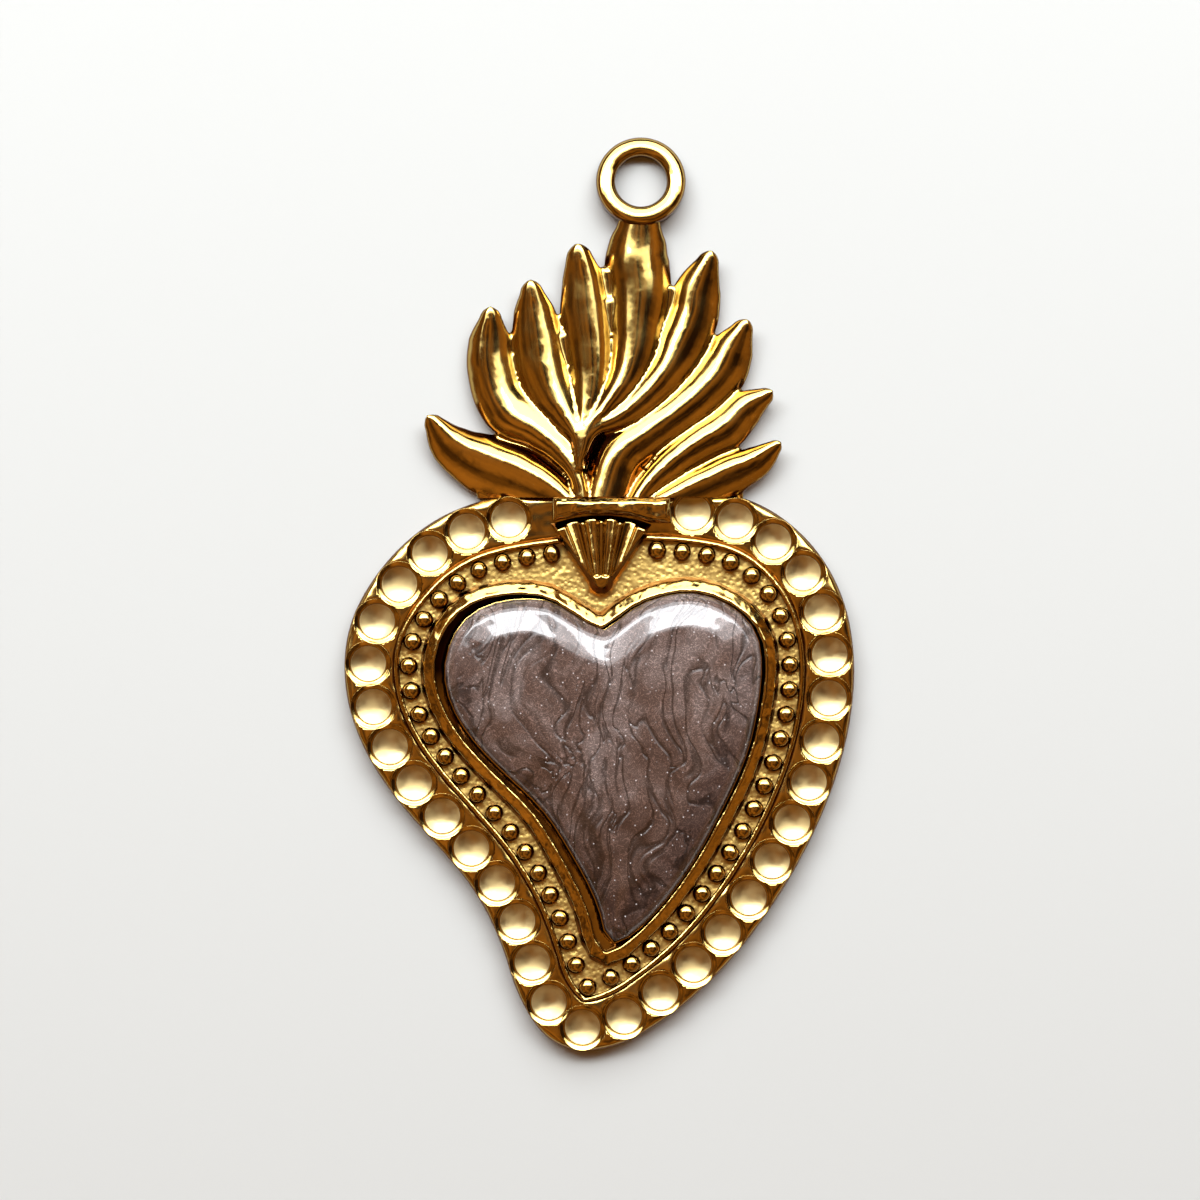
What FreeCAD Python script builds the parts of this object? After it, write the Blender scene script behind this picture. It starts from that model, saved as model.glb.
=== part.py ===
import FreeCAD, Part
import math
import os
import Sketcher

# Milagro charm: a flaming sacred heart in gilt metal, lying flat on its back.
# X runs across the heart, Y from its tail up to the hanging ring, Z out of its
# face. The origin is the middle of the outer box on the back plane.

doc = FreeCAD.newDocument("milagro_charm")
sheet = doc.addObject("Spreadsheet::Sheet", "sizes")

# Driving dimensions in millimetres. The counts of seats and beads follow from their widths.
SIZES = [
    # Heart plate: the body of the charm, with a band of dished stone seats
    ("heart_width", 33.4),
    ("heart_height", 37.1),
    ("tail_reach", 30.0),
    ("plate_thickness", 1.6),
    ("plate_edge_round", 0.45),
    ("seam_drop", 0.85),
    # Stone seats: shallow dishes in countersunk rings
    ("seat_inset", 1.6),
    ("seat_width", 2.4),
    ("seat_depth", 0.45),
    ("moat_width", 0.2),
    ("moat_depth", 0.15),
    ("seat_land", 0.03),
    ("seat_gap_left", 5.95),
    ("seat_gap_right", 6.1),
    # Channel inside the band, with its wire and its row of beads
    ("channel_inset", 3.3),
    ("channel_depth", 0.3),
    ("wire_width", 0.35),
    ("wire_height", 0.55),
    ("bead_width", 1.15),
    ("bead_height", 0.85),
    ("bead_gap", 0.48),
    ("bead_clearance", 0.04),
    ("bead_gap_left", 3.15),
    ("bead_gap_right", 3.75),
    # Bezel: the wall round the enamel, and the pad that carries the enamel
    ("bezel_foot", 1.05),
    ("bezel_land", 0.12),
    ("bezel_height", 1.2),
    ("bezel_tail_lift", 0.6),
    ("bezel_lobe_drop", 1.05),
    ("pad_height", 0.75),
    ("pad_gap_left", 0.8),
    ("pad_gap_right", 0.08),
    ("pad_gap_top", 0.2),
    ("pad_gap_tail", 0.6),
    ("pad_turn", 1.2),
    ("enamel_height", 1.4),
    ("enamel_slope", 2.2),
    # Flame crown: nine ridged tongues that spring from one root
    ("crown_width", 24.0),
    ("crown_height", 18.3),
    ("crown_across", 0.1),
    ("flame_width", 3.9),
    ("flame_edge", 0.7),
    ("flame_rise", 2.1),
    ("flame_bulge", 0.22),
    # Collar bar over the joint between crown and plate
    ("collar_left", 3.1),
    ("collar_reach", 1.65),
    ("collar_height", 1.15),
    ("collar_edge", 0.3),
    ("collar_clearance", 0.05),
    # Fan: the fluted palmette under the collar
    ("fan_across", 0.1),
    ("fan_drop", 1.1),
    ("fan_width", 6.7),
    ("fan_length", 5.2),
    ("fan_camber", 0.6),
    ("fan_tip_width", 1.6),
    ("fan_height", 0.95),
    ("fan_skirt", 0.45),
    ("flute_width", 1.2),
    ("flute_depth", 0.42),
    ("flute_step", 11.5),
    ("flute_reach", 6.65),
    ("flute_start", 2.6),
    # Hanging ring
    ("ring_width", 5.9),
    ("ring_hole", 3.4),
    ("ring_across", 2.7),
    ("ring_lift", 2.5),
    ("ring_thickness", 1.5),
    ("ring_edge", 0.4),
]
for row, (name, value) in enumerate(SIZES, start=1):
    sheet.set(f"A{row}", name)
    sheet.set(f"B{row}", str(value))
    sheet.setAlias(f"B{row}", name)
doc.recompute()

# Sizes that follow from the driving ones, kept in the same sheet.
DERIVED = [
    ("heart_middle", "heart_height / 2 - tail_reach"),
    ("seam_reach", "heart_height - tail_reach - seam_drop"),
    ("fan_top", "seam_reach - fan_drop"),
    ("ring_reach", "seam_reach + crown_height + ring_lift"),
    ("channel_floor", "plate_thickness - channel_depth"),
    ("pad_top", "channel_floor + pad_height"),
    ("wire_inset", "channel_inset + wire_width"),
    ("bead_inset", "wire_inset + bead_clearance + bead_width / 2"),
    ("foot_inset", "wire_inset + 2 * bead_clearance + bead_width"),
    ("bezel_inset", "foot_inset + bezel_foot"),
    ("bezel_width", "heart_width - 2 * bezel_inset"),
    ("bezel_length", "heart_height - 2 * bezel_inset - bezel_tail_lift - bezel_lobe_drop"),
    ("bezel_middle", "heart_middle + (bezel_tail_lift - bezel_lobe_drop) / 2"),
    ("enamel_width", "bezel_width - pad_gap_left - pad_gap_right"),
    ("enamel_length", "bezel_length - pad_gap_top - pad_gap_tail"),
    ("enamel_across", "(pad_gap_left - pad_gap_right) / 2"),
    ("enamel_middle", "bezel_middle + (pad_gap_tail - pad_gap_top) / 2"),
    ("seat_ring", "seat_width + 2 * moat_width"),
    ("collar_right", "seat_gap_right - seat_ring / 2 - collar_clearance"),
    ("fan_arc", "fan_width ^ 2 / (8 * fan_camber) + fan_camber / 2"),
    ("flute_arc", "flute_width ^ 2 / (8 * flute_depth) + flute_depth / 2"),
]
for row, (name, formula) in enumerate(DERIVED, start=len(SIZES) + 1):
    sheet.set(f"A{row}", name)
    sheet.set(f"B{row}", "=" + formula)
    sheet.setAlias(f"B{row}", name)
doc.recompute()


def size(name):
    return float(sheet.get(name))


# How closely an outline is sampled to draw another one beside it, and in how many arcs or
# straight runs it's drawn.
SIDE_SAMPLES = 90
SIDE_KEEP_SHARE = 0.995
OUTLINE_ARCS = 28
OUTLINE_RUNS = 64
LEVEL_SHARE = 1e-6


def vector(across, along, up=0.0):
    return FreeCAD.Vector(across, along, up)


def keep(name, shape):
    """A document object for a shape that is worked out in code."""
    part = doc.addObject("Part::Feature", name)
    part.Shape = shape
    return part


def prism(name, base, depth, height="0 mm"):
    """Extrude a closed outline up from a height; both sizes are sheet formulas."""
    part = doc.addObject("Part::Extrusion", name)
    part.Base = base
    part.DirMode = "Custom"
    part.Dir = vector(0, 0, 1)
    part.Solid = True
    part.setExpression("LengthFwd", depth)
    part.setExpression("Placement.Base.z", height)
    return part


def combine(kind, name, base, tool):
    """A cut or common of two objects."""
    part = doc.addObject("Part::" + kind, name)
    part.Base = base
    part.Tool = tool
    return part


def loft(name, sections):
    """A solid with straight-lined sides through closed sections, from the lowest up."""
    part = doc.addObject("Part::Loft", name)
    part.Sections = sections
    part.Solid = True
    part.Ruled = True
    return part


def block(name, width, length, depth, across, along, height="0 mm"):
    """A block from its sizes and its lowest corner, all sheet formulas."""
    part = doc.addObject("Part::Box", name)
    for field, formula in (("Length", width), ("Width", length), ("Height", depth)):
        part.setExpression(field, formula)
    for axis, formula in (("x", across), ("y", along), ("z", height)):
        part.setExpression("Placement.Base." + axis, formula)
    return part


def many_sided(sides, radius, height):
    """Corners of a level ring of equal sides about the Z axis."""
    return [
        vector(radius, 0, height) if not turn else FreeCAD.Rotation(
            vector(0, 0, 1), math.degrees(math.tau * turn / sides)
        ).multVec(vector(radius, 0, height))
        for turn in range(sides)
    ]


def faceted(rings):
    """A solid with flat facets through rings of corners, each ring with as many corners."""
    facets = [rings[0], rings[-1]]
    for lower, upper in zip(rings, rings[1:]):
        for corner in range(len(lower)):
            one, two, three, four = lower[corner - 1], lower[corner], upper[corner], upper[corner - 1]
            out_of_flat = abs((two - one).cross(four - one).normalize().dot(three - one))
            if out_of_flat < LEVEL_SHARE * one.distanceToPoint(three):
                facets.append([one, two, three, four])
            else:
                facets += [[one, two, three], [one, three, four]]
    shell = Part.Shell([Part.Face(Part.makePolygon(facet + facet[:1])) for facet in facets])
    return Part.Solid(shell)


def spline(points, closed=False):
    curve = Part.BSplineCurve()
    curve.interpolate(Points=points, PeriodicFlag=closed)
    return curve


def outline(shares, width, length, across, middle):
    """Points of an outline from shares of its width and length about its middle."""
    return [vector(across + x * width, middle + y * length) for x, y in shares]


def crossing(start, end, other_start, other_end):
    """Where two runs in the XY plane meet when drawn on."""
    run = end - start
    other = other_end - other_start
    between = other_start - start
    share = (between.x * other.y - between.y * other.x) / (run.x * other.y - run.y * other.x)
    return start + run * share


def beside(curve, distance):
    """A closed curve beside a clockwise outline: inside for a positive distance, else outside.

    Samples of the outline move along their normals. The ones that come nearer to the
    outline than the distance lie in the fold where it turns sharply. They are left out,
    and the two ends meet in a true corner there.
    """
    if not distance:
        return curve
    edge = curve.toShape()
    first, last = curve.FirstParameter, curve.LastParameter
    moved = []
    for step in range(SIDE_SAMPLES + 1):
        at = first + (last - first) * step / SIDE_SAMPLES
        tangent = curve.tangent(at)[0]
        point = curve.value(at) + vector(tangent.y, -tangent.x) * distance
        if edge.distToShape(Part.Vertex(point))[0] > abs(distance) * SIDE_KEEP_SHARE:
            moved.append(point)
    if curve.isPeriodic() and len(moved) > SIDE_SAMPLES:
        return spline(moved[:-1], closed=True)
    corner = crossing(moved[1], moved[0], moved[-2], moved[-1])
    return spline([corner] + moved + [corner])


# Heart plate outline, clockwise from the tail. The left flank is hollow and the tail
# swings left, as on a sacred heart. The top is one low arch, cut off at the crown's seam.
RIM_SHARES = [
    (-0.027, -0.500), (-0.081, -0.489), (-0.126, -0.454), (-0.165, -0.389), (-0.195, -0.310),
    (-0.260, -0.201), (-0.341, -0.116), (-0.440, -0.003), (-0.4955, 0.120), (-0.4905, 0.252),
    (-0.445, 0.334), (-0.377, 0.403), (-0.290, 0.454), (-0.180, 0.483), (0.009, 0.500),
    (0.186, 0.495), (0.305, 0.470), (0.392, 0.418), (0.457, 0.342), (0.492, 0.252),
    (0.500, 0.160), (0.469, -0.003), (0.409, -0.136), (0.332, -0.253), (0.232, -0.364),
    (0.129, -0.443), (0.036, -0.489),
]
rim = spline(
    outline(RIM_SHARES, size("heart_width"), size("heart_height"), 0, size("heart_middle")),
    closed=True,
)

# Inner heart outline, clockwise from the cleft round both lobes and the tail's tip.
HEART_SHARES = [
    (0.007, 0.398), (0.057, 0.429), (0.115, 0.466), (0.185, 0.489), (0.263, 0.500),
    (0.351, 0.485), (0.430, 0.444), (0.485, 0.380), (0.500, 0.305), (0.482, 0.155),
    (0.459, 0.067), (0.360, -0.133), (0.279, -0.262), (0.181, -0.381), (0.100, -0.455),
    (0.060, -0.483), (0.0235, -0.500), (-0.003, -0.483), (-0.018, -0.440), (-0.045, -0.360),
    (-0.123, -0.222), (-0.190, -0.125), (-0.292, -0.027), (-0.419, 0.097), (-0.485, 0.205),
    (-0.500, 0.295), (-0.480, 0.370), (-0.430, 0.438), (-0.354, 0.4775), (-0.245, 0.492),
    (-0.163, 0.483), (-0.089, 0.444), (0.007, 0.398),
]


def heart(kind, across=0.0):
    """The inner heart at the width and length of the bezel or of the enamel."""
    return spline(
        outline(HEART_SHARES, size(kind + "_width"), size(kind + "_length"), across, size(kind + "_middle"))
    )


def arcs(curve, height=0.0):
    """The curve at a height, drawn as a closed chain of arcs."""
    points = curve.discretize(Number=2 * OUTLINE_ARCS + 1)
    points[-1] = points[0]
    chain = Part.Wire([
        Part.Arc(start, via, end).toShape()
        for start, via, end in zip(points[0::2], points[1::2], points[2::2])
    ])
    chain.translate(vector(0, 0, height))
    return chain


def runs(curve, height=0.0):
    """The curve at a height, drawn as a closed chain of short straight runs."""
    points = curve.discretize(Number=OUTLINE_RUNS + 1)
    points[-1] = points[0]
    chain = Part.makePolygon(points)
    chain.translate(vector(0, 0, height))
    return chain


def enamel_ring(inset, height):
    """The enamel's outline, set in by an inset. It lies a little turned inside the bezel."""
    ring = runs(beside(heart("enamel", size("enamel_across")), inset), height)
    ring.rotate(vector(size("enamel_across"), size("enamel_middle")), vector(0, 0, 1), size("pad_turn"))
    return ring


# Heart plate: upright sides with a rounded upper edge, cut off at the crown's seam.

EDGE_SHARES = [(0.0, 1.0), (0.28, 0.28), (1.0, 0.0)]
plate_rings = [keep("plate_ring_foot", arcs(rim))]
for number, (inwards, down) in enumerate(EDGE_SHARES, start=1):
    ring = arcs(
        beside(rim, size("plate_edge_round") * inwards),
        size("plate_thickness") - size("plate_edge_round") * down,
    )
    plate_rings.append(keep(f"plate_ring_{number}", ring))
plate_blank = loft("plate_blank", plate_rings)
above_seam = block(
    "above_seam", "2 * sizes.heart_width", "sizes.heart_height", "4 * sizes.plate_thickness",
    "-sizes.heart_width", "sizes.seam_reach", "-sizes.plate_thickness",
)
plate_body = combine("Cut", "plate_body", plate_blank, above_seam)

# Fan footprint: a wedge with an arched top and a blunt tip, under the collar. The
# channel stops at it, so that the fan stands on the full plate.


def fan_wire(margin, height=0.0):
    """The fan's outline at a height, set in all round by a margin."""
    across = size("fan_across")
    top = size("fan_top") - margin
    half = size("fan_width") / 2 - margin
    tip_half = size("fan_tip_width") / 2 - margin
    bottom = size("fan_top") - size("fan_length") + margin
    shoulder = top - size("fan_camber")
    tip_shoulder = bottom + tip_half
    left, right = vector(across - half, shoulder), vector(across + half, shoulder)
    tip_left, tip_right = vector(across - tip_half, tip_shoulder), vector(across + tip_half, tip_shoulder)
    shape = Part.Wire([
        Part.Arc(left, vector(across, top), right).toShape(),
        Part.LineSegment(right, tip_right).toShape(),
        Part.Arc(tip_right, vector(across, bottom), tip_left).toShape(),
        Part.LineSegment(tip_left, left).toShape(),
    ])
    shape.translate(vector(0, 0, height))
    return shape


fan_foot = keep("fan_foot", fan_wire(0))
fan_print = prism("fan_print", fan_foot, "sizes.plate_thickness + 2 * sizes.fan_height")
channel_outline = keep("channel_outline", arcs(beside(rim, size("channel_inset"))))
channel_area = prism("channel_area", channel_outline, "2 * sizes.channel_depth", "sizes.channel_floor")
pad_outline = keep("pad_outline", enamel_ring(0, 0))
pad = prism("pad", pad_outline, "sizes.pad_top")
channel_beside_fan = combine("Cut", "channel_beside_fan", channel_area, fan_print)
channel = combine("Cut", "channel", channel_beside_fan, pad)
channelled = combine("Cut", "channelled", plate_body, channel)
padded = combine("Fuse", "padded", channelled, pad)


def row_run(distance, gap_left, gap_right):
    """The run beside the rim, from the right side of a gap at the top round to its left."""
    above = size("heart_height")
    gap = Part.makeBox(
        gap_left + gap_right, above, above, vector(-gap_left, size("heart_middle"), -above / 2)
    )
    return beside(rim, distance).toShape().cut(gap).Edges


# Stone seats: a dish and a countersunk ring, cut at each point of the row. A row of the list
# holds a ring's share of the seat's radius and of the dish's depth.

SEAT_SIDES = 14
DISH_SHARES = [(0.30, 1.0), (0.72, 0.52), (1.0, 0.0)]
seat_rings = [
    (size("seat_width") / 2 * reach, size("plate_thickness") - size("moat_depth") - size("seat_depth") * deep)
    for reach, deep in DISH_SHARES
] + [
    (size("seat_ring") / 2, size("plate_thickness")),
    (size("seat_ring") / 2, size("plate_thickness") + size("seat_depth")),
]
seat_cutter = faceted([many_sided(SEAT_SIDES, radius, height) for radius, height in seat_rings])
seat_run = Part.Wire(Part.__sortEdges__(
    row_run(size("seat_inset"), size("seat_gap_left"), size("seat_gap_right"))
))
seat_steps = round(seat_run.Length / (size("seat_ring") + size("seat_land")))
seat_places = seat_run.discretize(Number=seat_steps + 1)
seat_cuts = keep("seat_cuts", Part.Compound([seat_cutter.translated(place) for place in seat_places]))
heart_plate = combine("Cut", "heart_plate", padded, seat_cuts)

# Border wire: a ridge that stands in the channel against its outer wall.

wire_inner = keep("wire_inner", arcs(beside(rim, size("wire_inset"))))
wire_blank = prism("wire_blank", channel_outline, "sizes.wire_height", "sizes.channel_floor")
wire_bore = prism("wire_bore", wire_inner, "sizes.wire_height", "sizes.channel_floor")
wire_ring = combine("Cut", "wire_ring", wire_blank, wire_bore)
border_wire = combine("Cut", "border_wire", wire_ring, fan_print)

# Bead row: rounded beads, spread from each side of the fan to one in the tail's corner. A row
# of the list holds a ring's share of the bead's radius and of its height.

BEAD_SIDES = 10
BEAD_SHARES = [(0.82, 0.0), (1.0, 0.35), (0.72, 0.82), (0.25, 1.0)]
bead_form = faceted([
    many_sided(
        BEAD_SIDES, size("bead_width") / 2 * reach, size("channel_floor") + size("bead_height") * up
    )
    for reach, up in BEAD_SHARES
])
bead_places = []
for half in row_run(size("bead_inset"), size("bead_gap_left"), size("bead_gap_right")):
    steps = round(half.Length / (size("bead_width") + size("bead_gap")))
    for place in half.discretize(Number=steps + 1):
        if all(place.distanceToPoint(other) > size("bead_width") / 2 for other in bead_places):
            bead_places.append(place)
bead_row = keep("bead_row", Part.Compound([bead_form.translated(place) for place in bead_places]))

# Bezel: a wall with a bulged outer flank, upright inside, trimmed clear of the beads.

bezel_heart = heart("bezel")
FLANK_SHARES = [(1.0, 0.0), (0.70, 0.66), (0.0, 1.0)]
bezel_rings = []
for number, (out, up) in enumerate(FLANK_SHARES, start=1):
    reach = size("bezel_land") + (size("bezel_foot") - size("bezel_land")) * out
    ring = runs(beside(bezel_heart, -reach), size("channel_floor") + size("bezel_height") * up)
    bezel_rings.append(keep(f"bezel_ring_{number}", ring))
bezel_mass = loft("bezel_mass", bezel_rings)
bezel_inner = keep("bezel_inner", runs(bezel_heart))
bezel_well = prism("bezel_well", bezel_inner, "2 * sizes.bezel_height", "sizes.channel_floor - sizes.channel_depth")
bezel_wall = combine("Cut", "bezel_wall", bezel_mass, bezel_well)
foot_limit = keep("foot_limit", arcs(beside(rim, size("foot_inset"))))
foot_area = prism("foot_area", foot_limit, "2 * sizes.bezel_height", "sizes.channel_floor")
bezel_trim = combine("Common", "bezel_trim", bezel_wall, foot_area)
bezel = combine("Cut", "bezel", bezel_trim, fan_print)

# Enamel heart: a domed pour that stands on the pad, steep at its edge and low at its crown.

DOME_SHARES = [(0.0, 0.0), (0.0, 0.30), (0.26, 0.68), (1.0, 1.0)]
enamel_heart = loft("enamel_heart", [
    keep(
        f"dome_ring_{number}",
        enamel_ring(size("enamel_slope") * inwards, size("pad_top") + size("enamel_height") * up),
    )
    for number, (inwards, up) in enumerate(DOME_SHARES, start=1)
])

# Flame crown: each tongue is lofted along its ridge from the root out to its tip. A row
# holds the ridge's place as shares of the crown's width and height, and the tongue's width.

FLAME_SHARES = {
    "low_left": [
        (-0.110, 0.000, 0.50), (-0.160, 0.034, 0.74), (-0.246, 0.075, 0.98), (-0.362, 0.144, 1.02),
        (-0.452, 0.240, 0.62), (-0.494, 0.311, 0.10),
    ],
    "left": [
        (-0.070, 0.000, 0.55), (-0.092, 0.100, 0.60), (-0.146, 0.205, 0.68), (-0.244, 0.309, 0.92),
        (-0.300, 0.478, 0.84), (-0.306, 0.590, 0.62), (-0.296, 0.692, 0.10),
    ],
    "upper_left": [
        (-0.060, 0.150, 0.35), (-0.078, 0.255, 0.50), (-0.114, 0.370, 0.92), (-0.149, 0.514, 1.05),
        (-0.176, 0.640, 0.84), (-0.194, 0.790, 0.10),
    ],
    "top_left": [
        (-0.030, 0.245, 0.30), (-0.021, 0.334, 0.45), (-0.008, 0.442, 0.58), (-0.018, 0.557, 0.72),
        (-0.040, 0.710, 0.76), (-0.057, 0.920, 0.10),
    ],
    "top": [
        (-0.035, 0.230, 0.25), (0.042, 0.334, 0.42), (0.085, 0.431, 0.66), (0.100, 0.557, 0.80),
        (0.105, 0.712, 1.05), (0.103, 0.866, 1.12), (0.104, 1.000, 0.60),
    ],
    "top_right": [
        (0.000, 0.235, 0.25), (0.083, 0.316, 0.35), (0.178, 0.410, 0.60), (0.210, 0.518, 0.74),
        (0.242, 0.622, 0.88), (0.288, 0.802, 0.64), (0.303, 0.902, 0.10),
    ],
    "upper_right": [
        (0.040, 0.000, 1.05), (0.068, 0.110, 0.95), (0.160, 0.240, 0.88), (0.273, 0.345, 0.86),
        (0.340, 0.475, 0.98), (0.384, 0.568, 0.64), (0.401, 0.654, 0.10),
    ],
    "right": [
        (0.110, 0.040, 0.50), (0.197, 0.108, 0.62), (0.273, 0.165, 0.72), (0.352, 0.237, 0.72),
        (0.424, 0.327, 0.60), (0.472, 0.398, 0.10),
    ],
    "low_right": [
        (0.110, 0.000, 0.40), (0.200, 0.028, 0.66), (0.300, 0.060, 0.86), (0.380, 0.095, 0.86),
        (0.451, 0.151, 0.62), (0.494, 0.214, 0.12),
    ],
}


# The ridge falls from root to tip by this share, and is this share of its height on a thin tongue.
RIDGE_FALL_SHARE = 0.6
THIN_RIDGE_SHARE = 0.5


def flame(shares):
    """One tongue: upright edges and two bulged flanks that meet in the ridge."""
    # The guide holds the ridge's place in X and Y, and the tongue's half width in Z.
    guide = spline([
        vector(
            size("crown_across") + across * size("crown_width"),
            size("seam_reach") + along * size("crown_height"),
            wide * size("flame_width") / 2,
        )
        for across, along, wide in shares
    ])
    knots = guide.getKnots()
    stations = sorted(knots + [(start + end) / 2 for start, end in zip(knots, knots[1:])])
    sections = []
    for number, station in enumerate(stations):
        place, run = guide.value(station), guide.tangent(station)[0]
        half = place.z
        place.z = run.z = 0
        side = vector(run.y, -run.x).normalize() * half
        share = 2 * half / size("flame_width")
        fullness = THIN_RIDGE_SHARE + (1 - THIN_RIDGE_SHARE) * share
        fall = 1 - RIDGE_FALL_SHARE * number / (len(stations) - 1)
        edge = vector(0, 0, size("flame_edge"))
        rise = vector(0, 0, size("flame_rise") * fullness * fall)
        flank = edge + rise / 2 + vector(0, 0, size("flame_bulge") * share)
        left, right = place - side, place + side
        section = [
            right, left, left + edge, place - side / 2 + flank, place + edge + rise,
            place + side / 2 + flank, right + edge,
        ]
        sections.append(section)
    return faceted(sections)


flames = [keep("flame_" + name, flame(shares)) for name, shares in FLAME_SHARES.items()]
# The web under the tongues closes the root between them.
WEB_SHARES = [
    (-0.345, 0.0), (-0.275, 0.100), (-0.150, 0.190), (-0.045, 0.260), (0.070, 0.260), (0.180, 0.170),
    (0.320, 0.100), (0.395, 0.0),
]
web_points = outline(
    WEB_SHARES, size("crown_width"), size("crown_height"), size("crown_across"), size("seam_reach")
)
web_outline = keep("web_outline", Part.makePolygon(web_points + web_points[:1]))
crown_web = prism("crown_web", web_outline, "sizes.flame_edge")
crown_mass = doc.addObject("Part::MultiFuse", "crown_mass")
crown_mass.Shapes = flames + [crown_web]
crown_mass.Refine = False
below_seam = block(
    "below_seam", "2 * sizes.crown_width", "sizes.crown_height", "2 * sizes.crown_height",
    "-sizes.crown_width", "sizes.seam_reach - sizes.crown_height", "-sizes.crown_height",
)
crown_body = combine("Cut", "crown_body", crown_mass, below_seam)
ring_place = doc.addObject("Part::Cylinder", "ring_place")
ring_place.setExpression("Radius", "sizes.ring_width / 2")
ring_place.setExpression("Height", "2 * sizes.crown_height")
ring_place.setExpression("Placement.Base.x", "sizes.ring_across")
ring_place.setExpression("Placement.Base.y", "sizes.ring_reach")
ring_place.setExpression("Placement.Base.z", "-sizes.crown_height")
flame_crown = combine("Cut", "flame_crown", crown_body, ring_place)

# Hanging ring: a flat-backed eye with an upright bore and bevelled upper edges.

hanging_ring = doc.addObject("PartDesign::Body", "hanging_ring")
hanging_ring.setExpression("Placement.Base.x", "sizes.ring_across")
hanging_ring.setExpression("Placement.Base.y", "sizes.ring_reach")
ring_plane = next(f for f in hanging_ring.Origin.OriginFeatures if f.Role == "XY_Plane")
ring_sketch = hanging_ring.newObject("Sketcher::SketchObject", "ring_sketch")
ring_sketch.AttachmentSupport = (ring_plane, [""])
ring_sketch.MapMode = "FlatFace"
CENTRE_POINT = 3
ORIGIN = (-1, 1)
for circle, width in enumerate(("ring_width", "ring_hole")):
    ring_sketch.addGeometry(Part.Circle(vector(0, 0), vector(0, 0, 1), size(width) / 2), False)
    ring_sketch.addConstraint(Sketcher.Constraint("Coincident", circle, CENTRE_POINT, *ORIGIN))
    diameter = ring_sketch.addConstraint(Sketcher.Constraint("Diameter", circle, size(width)))
    ring_sketch.setExpression(f"Constraints[{diameter}]", "sizes." + width)
ring_pad = hanging_ring.newObject("PartDesign::Pad", "ring_pad")
ring_pad.Profile = ring_sketch
ring_pad.setExpression("Length", "sizes.ring_thickness")
doc.recompute()


def top_edges(shape):
    """Names of the edges that lie level at the top of a shape."""
    top = shape.BoundBox.ZMax
    return [
        f"Edge{number}" for number, edge in enumerate(shape.Edges, start=1)
        if all(abs(vertex.Z - top) < LEVEL_SHARE * top for vertex in edge.Vertexes)
    ]


ring_edge = hanging_ring.newObject("PartDesign::Chamfer", "ring_edge")
ring_edge.Base = (ring_pad, top_edges(ring_pad.Shape))
ring_edge.setExpression("Size", "sizes.ring_edge")

# Fan: straight skirts up to a flat top with flutes that open from the tip.

fan_body = loft("fan_body", [
    keep("fan_ring_foot", fan_wire(0, size("plate_thickness"))),
    keep("fan_ring_top", fan_wire(size("fan_skirt"), size("plate_thickness") + size("fan_height"))),
])
FLUTES = 4
FLUTE_SIDES = 10
lift = math.atan((size("flute_arc") - size("flute_depth")) / size("flute_reach"))
flute_apex = vector(
    size("fan_across"), size("fan_top") - size("flute_reach"), size("plate_thickness") + size("fan_height")
)
flute_ends = [size("flute_start"), 2 * size("flute_reach")]
flutes = []
for number in range(FLUTES):
    lean = math.radians(size("flute_step") * (number - (FLUTES - 1) / 2))
    run = vector(math.sin(lean) * math.cos(lift), math.cos(lean) * math.cos(lift), math.sin(lift))
    flute = faceted([
        many_sided(FLUTE_SIDES, size("flute_arc") * end / size("flute_reach"), end) for end in flute_ends
    ])
    flute.Placement = FreeCAD.Placement(flute_apex, FreeCAD.Rotation(vector(0, 0, 1), run))
    flutes.append(keep(f"flute_{number + 1}", flute))
all_flutes = doc.addObject("Part::MultiFuse", "all_flutes")
all_flutes.Shapes = flutes
fan = combine("Cut", "fan", fan_body, all_flutes)

# Collar: a bevelled bar over the joint, arched on its lower side over the fan.

collar = doc.addObject("PartDesign::Body", "collar")
collar_bar = collar.newObject("PartDesign::AdditiveBox", "collar_bar")
collar_bar.setExpression("Length", "sizes.collar_left + sizes.collar_right")
collar_bar.setExpression("Width", "sizes.collar_reach")
collar_bar.setExpression("Height", "sizes.collar_height")
collar_bar.setExpression("Placement.Base.x", "-sizes.collar_left")
collar_bar.setExpression("Placement.Base.y", "sizes.seam_reach - sizes.collar_reach")
collar_bar.setExpression("Placement.Base.z", "sizes.plate_thickness")
collar_arch = collar.newObject("PartDesign::SubtractiveCylinder", "collar_arch")
collar_arch.setExpression("Radius", "sizes.fan_arc + sizes.collar_clearance")
collar_arch.setExpression("Height", "2 * sizes.collar_height")
collar_arch.setExpression("Placement.Base.x", "sizes.fan_across")
collar_arch.setExpression("Placement.Base.y", "sizes.fan_top - sizes.fan_arc")
collar_arch.setExpression("Placement.Base.z", "sizes.plate_thickness")
doc.recompute()
collar_edge = collar.newObject("PartDesign::Chamfer", "collar_edge")
collar_edge.Base = (collar_arch, top_edges(collar_arch.Shape))
collar_edge.setExpression("Size", "sizes.collar_edge")

# Check every object, then write each piece as its own file.

doc.recompute()
for part in doc.Objects:
    if "Invalid" in part.State or "Error" in part.State:
        raise RuntimeError(f"{part.Name} failed: {part.State}")
    if hasattr(part, "Shape") and (part.Shape.isNull() or not part.Shape.isValid()):
        raise RuntimeError(f"{part.Name} has no valid shape")
pieces = [
    heart_plate, border_wire, bead_row, bezel, enamel_heart, flame_crown, collar, fan, hanging_ring,
]
os.makedirs("parts", exist_ok=True)
for piece in pieces:
    piece.Shape.exportStep(f"parts/{piece.Label}.step")
    print(piece.Label, len(piece.Shape.Solids), round(piece.Shape.Volume, 1))
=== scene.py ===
import math
import random

import bpy
from mathutils import Matrix, Vector, kdtree


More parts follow.
